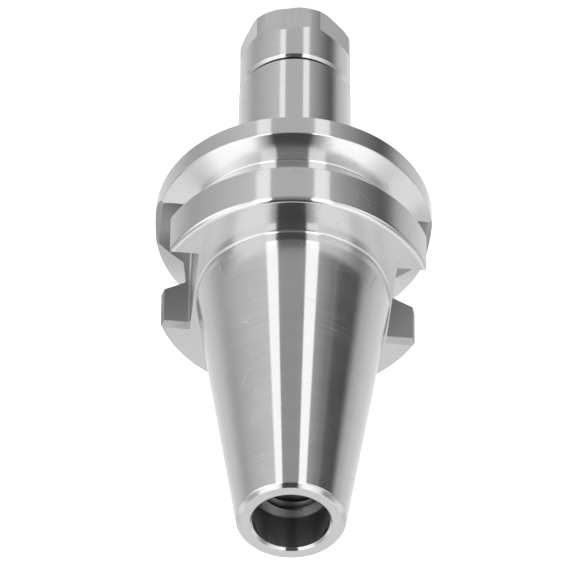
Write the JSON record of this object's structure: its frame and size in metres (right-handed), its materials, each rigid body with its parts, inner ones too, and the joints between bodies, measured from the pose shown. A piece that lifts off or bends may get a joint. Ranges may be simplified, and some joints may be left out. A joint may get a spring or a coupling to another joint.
{
  "type": "collet chuck holder",
  "caption": "Steep-taper tool holder with a gripper flange, a slim neck and a spring collet that a threaded nut closes on a cutter's shank.",
  "frame": {"origin": "centre of the taper's gauge plane, on the holder's axis", "axes": "+Z along the axis towards the small end of the taper, where the pull stud screws in; the two drive keyways lie on +X and -X; the collet and nut are at -Z"},
  "size_m": [0.046, 0.046, 0.1111],
  "materials": {
    "ground_body": "hardened and fine ground, bright",
    "spring_collet": "ground spring steel",
    "turned_nut": "fine turned, bright"
  },
  "bodies": {
    "holder": {"holder_body": "ground_body"},
    "collet": {"collet": "spring_collet"},
    "nut": {"clamping_nut": "turned_nut"}
  },
  "joints": [
    {"name": "collet_slide", "type": "slide", "parent": "holder", "child": "collet", "axis": [0, 0, -1], "range_m": [0, 0.00675]},
    {"name": "nut_turn", "type": "hinge", "parent": "collet", "child": "nut", "pos_m": [0, 0, -0.0566], "axis": [0, 0, -1], "range_deg": [0, 3240]}
  ],
  "couplings": [
    {"joint": "nut_turn", "follows": "collet_slide", "rad_per_m": 8377.6}
  ]
}
